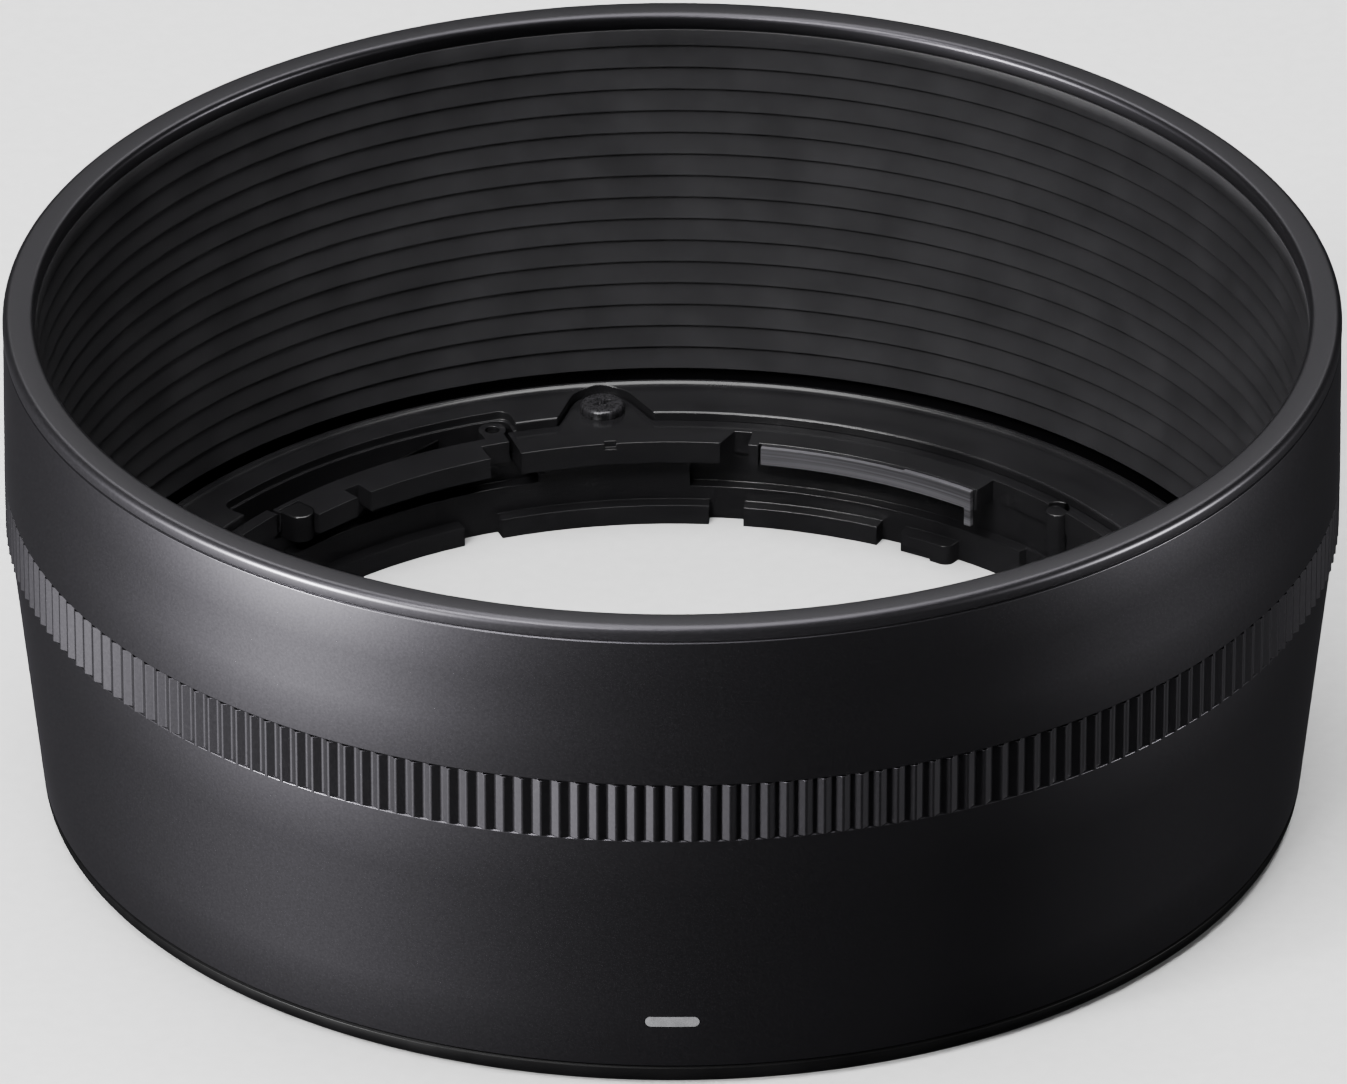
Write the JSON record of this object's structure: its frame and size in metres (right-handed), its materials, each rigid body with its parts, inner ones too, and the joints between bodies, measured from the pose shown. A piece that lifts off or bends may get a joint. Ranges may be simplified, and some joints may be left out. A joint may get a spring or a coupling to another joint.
{
  "type": "bayonet lens hood",
  "caption": "Short round lens hood: knurled black metal barrel, ribbed light-trap lining and a screwed bayonet with a sprung click arm.",
  "frame": {"origin": "on the hood's axis, in the plane of the lower edge that faces the lens", "axes": "+Z along the axis towards the mouth; -Y towards the index mark; +X to its right"},
  "size_m": [0.0886, 0.0886, 0.0351],
  "materials": {
    "rim_finish": "satin black anodised",
    "barrel_finish": "matte black, fine metallic grain",
    "grip_finish": "satin black, machined ribs",
    "skirt_finish": "matte black, fine metallic grain",
    "mark_paint": "light grey paint fill",
    "base_plastic": "smooth black",
    "trap_plastic": "dull black, slightly grained",
    "mount_plastic": "satin black moulding",
    "bayonet_plastic": "satin black moulding",
    "screw_steel": "blackened",
    "spring_strip": "blackened, drawn lines",
    "nub_plastic": "polished black",
    "pin_steel": "blackened",
    "leaf_steel": "blackened spring steel"
  },
  "bodies": {
    "hood": {"front_rim": "rim_finish", "front_barrel": "barrel_finish", "grip_ring": "grip_finish", "rear_skirt": "skirt_finish", "index_mark": "mark_paint", "base_ring": "base_plastic", "light_trap_sleeve": "trap_plastic", "mount_seat": "mount_plastic", "bayonet_ring": "bayonet_plastic", "mount_screws": "screw_steel", "stop_pillar": "bayonet_plastic", "friction_springs": "spring_strip", "click_pin": "pin_steel"},
    "click": {"click_arm": "bayonet_plastic", "click_nub": "nub_plastic", "click_spring": "leaf_steel", "spring_rivets": "pin_steel"}
  },
  "joints": [
    {"name": "click_arm_swing", "type": "hinge", "parent": "hood", "child": "click", "pos_m": [-0.01239, 0.03481, 0.0059], "axis": [0, 0, -1], "range_deg": [0, 2.6], "stiffness_Nm_per_rad": 0.5, "springref_deg": -1.15}
  ]
}
